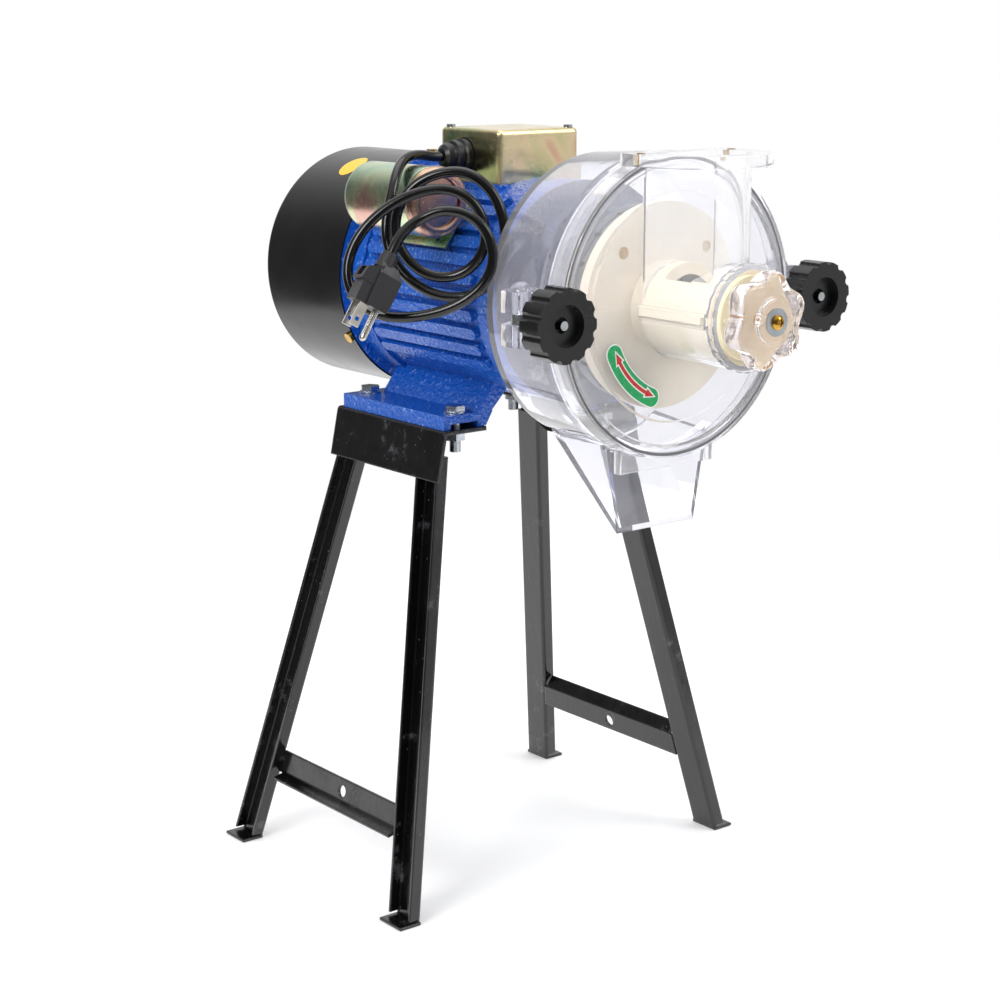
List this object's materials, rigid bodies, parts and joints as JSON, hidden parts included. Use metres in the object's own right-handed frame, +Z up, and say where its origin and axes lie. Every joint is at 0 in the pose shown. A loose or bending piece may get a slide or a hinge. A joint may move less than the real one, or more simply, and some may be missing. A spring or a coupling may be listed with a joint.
{
  "type": "wet grinder",
  "caption": "Motor-driven wet grinder: clear drum with feed tube, hopper neck and pulp chute on a finned motor with fan cover, capacitor and cord, on a splayed black stand.",
  "frame": {"origin": "bottom centre of the whole object without its cord, on the floor", "axes": "+Z up, -Y to the front where the fineness knob is, +X to the right of someone facing along +Y"},
  "size_m": [0.3514, 0.4619, 0.5453],
  "materials": {
    "black_paint": "glossy black paint",
    "blue_enamel": "rough cast metal under royal blue enamel",
    "gold_zinc": "yellow passivated zinc on sheet steel",
    "steel": "bright zinc plated steel",
    "core_steel": "stacked core sheets",
    "winding": "varnished copper wire",
    "clear_plastic": "clear polycarbonate",
    "cream_nylon": "cream nylon",
    "dial_plastic": "pale yellow plastic",
    "knob_plastic": "clear beige plastic",
    "black_plastic": "moulded black plastic",
    "dark_rubber": "soft black rubber",
    "seal_rubber": "dark grey rubber",
    "brass": "bare brass",
    "nickel": "nickel plated brass",
    "stone": "ground cast iron face",
    "block": "brown moulded resin",
    "film_case": "white plastic case",
    "cord_black": "smooth black cord sheath"
  },
  "bodies": {
    "base": {"left_bracket": "black_paint", "right_bracket": "black_paint", "left_front_leg": "black_paint", "left_rear_leg": "black_paint", "right_front_leg": "black_paint", "right_rear_leg": "black_paint", "left_brace": "black_paint", "right_brace": "black_paint", "foot_bolts": "steel", "foot_nuts": "steel", "motor_frame": "blue_enamel", "front_end_shield": "blue_enamel", "rear_end_shield": "blue_enamel", "end_shield_bolts": "steel", "stator_core": "core_steel", "stator_windings": "winding", "front_bearing": "steel", "rear_bearing": "steel", "fan_cover": "black_paint", "fan_cover_screws": "brass", "terminal_box": "gold_zinc", "terminal_box_screws": "steel", "terminal_block": "block", "cable_gland": "dark_rubber", "capacitor_can": "gold_zinc", "capacitor_cap": "gold_zinc", "capacitor": "film_case", "capacitor_saddle": "gold_zinc", "drum": "clear_plastic", "drum_screws": "steel", "cover_seal": "seal_rubber", "front_cover": "clear_plastic", "hopper_inserts": "brass", "tube_collar": "clear_plastic", "left_hinge_pin": "steel", "right_hinge_pin": "steel", "power_cord": "cord_black", "plug_body": "black_plastic", "plug_blades": "nickel"},
    "rotor": {"motor_shaft": "steel", "rotor_core": "core_steel", "cooling_fan": "black_plastic", "disc_hub": "steel", "rotating_disc": "stone", "auger": "steel"},
    "carrier": {"disc_carrier": "cream_nylon", "fixed_disc": "stone", "carrier_screws": "brass", "dial_plate": "dial_plastic"},
    "fine_knob": {"fineness_knob": "knob_plastic", "knob_washer": "steel", "knob_screw": "brass"},
    "left_bolt": {"left_swing_bolt": "steel"},
    "right_bolt": {"right_swing_bolt": "steel"},
    "left_washer": {"left_clamp_washer": "steel"},
    "right_washer": {"right_clamp_washer": "steel"},
    "left_knob": {"left_clamp_knob": "black_plastic"},
    "right_knob": {"right_clamp_knob": "black_plastic"}
  },
  "joints": [
    {"name": "rotor_spin", "type": "hinge", "parent": "base", "child": "rotor", "pos_m": [0, 0, 0.433], "axis": [0, 1, 0], "continuous": true},
    {"name": "carrier_slide", "type": "slide", "parent": "base", "child": "carrier", "axis": [0, -1, 0], "range_m": [0, 0.004]},
    {"name": "fineness_turn", "type": "hinge", "parent": "carrier", "child": "fine_knob", "pos_m": [0, -0.215, 0.433], "axis": [0, -1, 0], "range_deg": [0, 360]},
    {"name": "left_swing", "type": "hinge", "parent": "base", "child": "left_bolt", "pos_m": [-0.115, -0.114, 0.433], "axis": [0, 0, -1], "range_deg": [0, 100]},
    {"name": "left_clamp_slide", "type": "slide", "parent": "left_bolt", "child": "left_washer", "axis": [0, -1, 0], "range_m": [0, 0.005]},
    {"name": "left_clamp_turn", "type": "hinge", "parent": "left_washer", "child": "left_knob", "pos_m": [-0.115, -0.151, 0.433], "axis": [0, -1, 0], "range_deg": [0, 1800]},
    {"name": "right_swing", "type": "hinge", "parent": "base", "child": "right_bolt", "pos_m": [0.115, -0.114, 0.433], "axis": [0, 0, 1], "range_deg": [0, 100]},
    {"name": "right_clamp_slide", "type": "slide", "parent": "right_bolt", "child": "right_washer", "axis": [0, -1, 0], "range_m": [0, 0.005]},
    {"name": "right_clamp_turn", "type": "hinge", "parent": "right_washer", "child": "right_knob", "pos_m": [0.115, -0.151, 0.433], "axis": [0, -1, 0], "range_deg": [0, 1800]}
  ],
  "couplings": [
    {"joint": "fineness_turn", "follows": "carrier_slide", "rad_per_m": 1570.8},
    {"joint": "left_clamp_slide", "follows": "left_clamp_turn", "m_per_rad": 0.00015915},
    {"joint": "right_clamp_slide", "follows": "right_clamp_turn", "m_per_rad": 0.00015915}
  ]
}
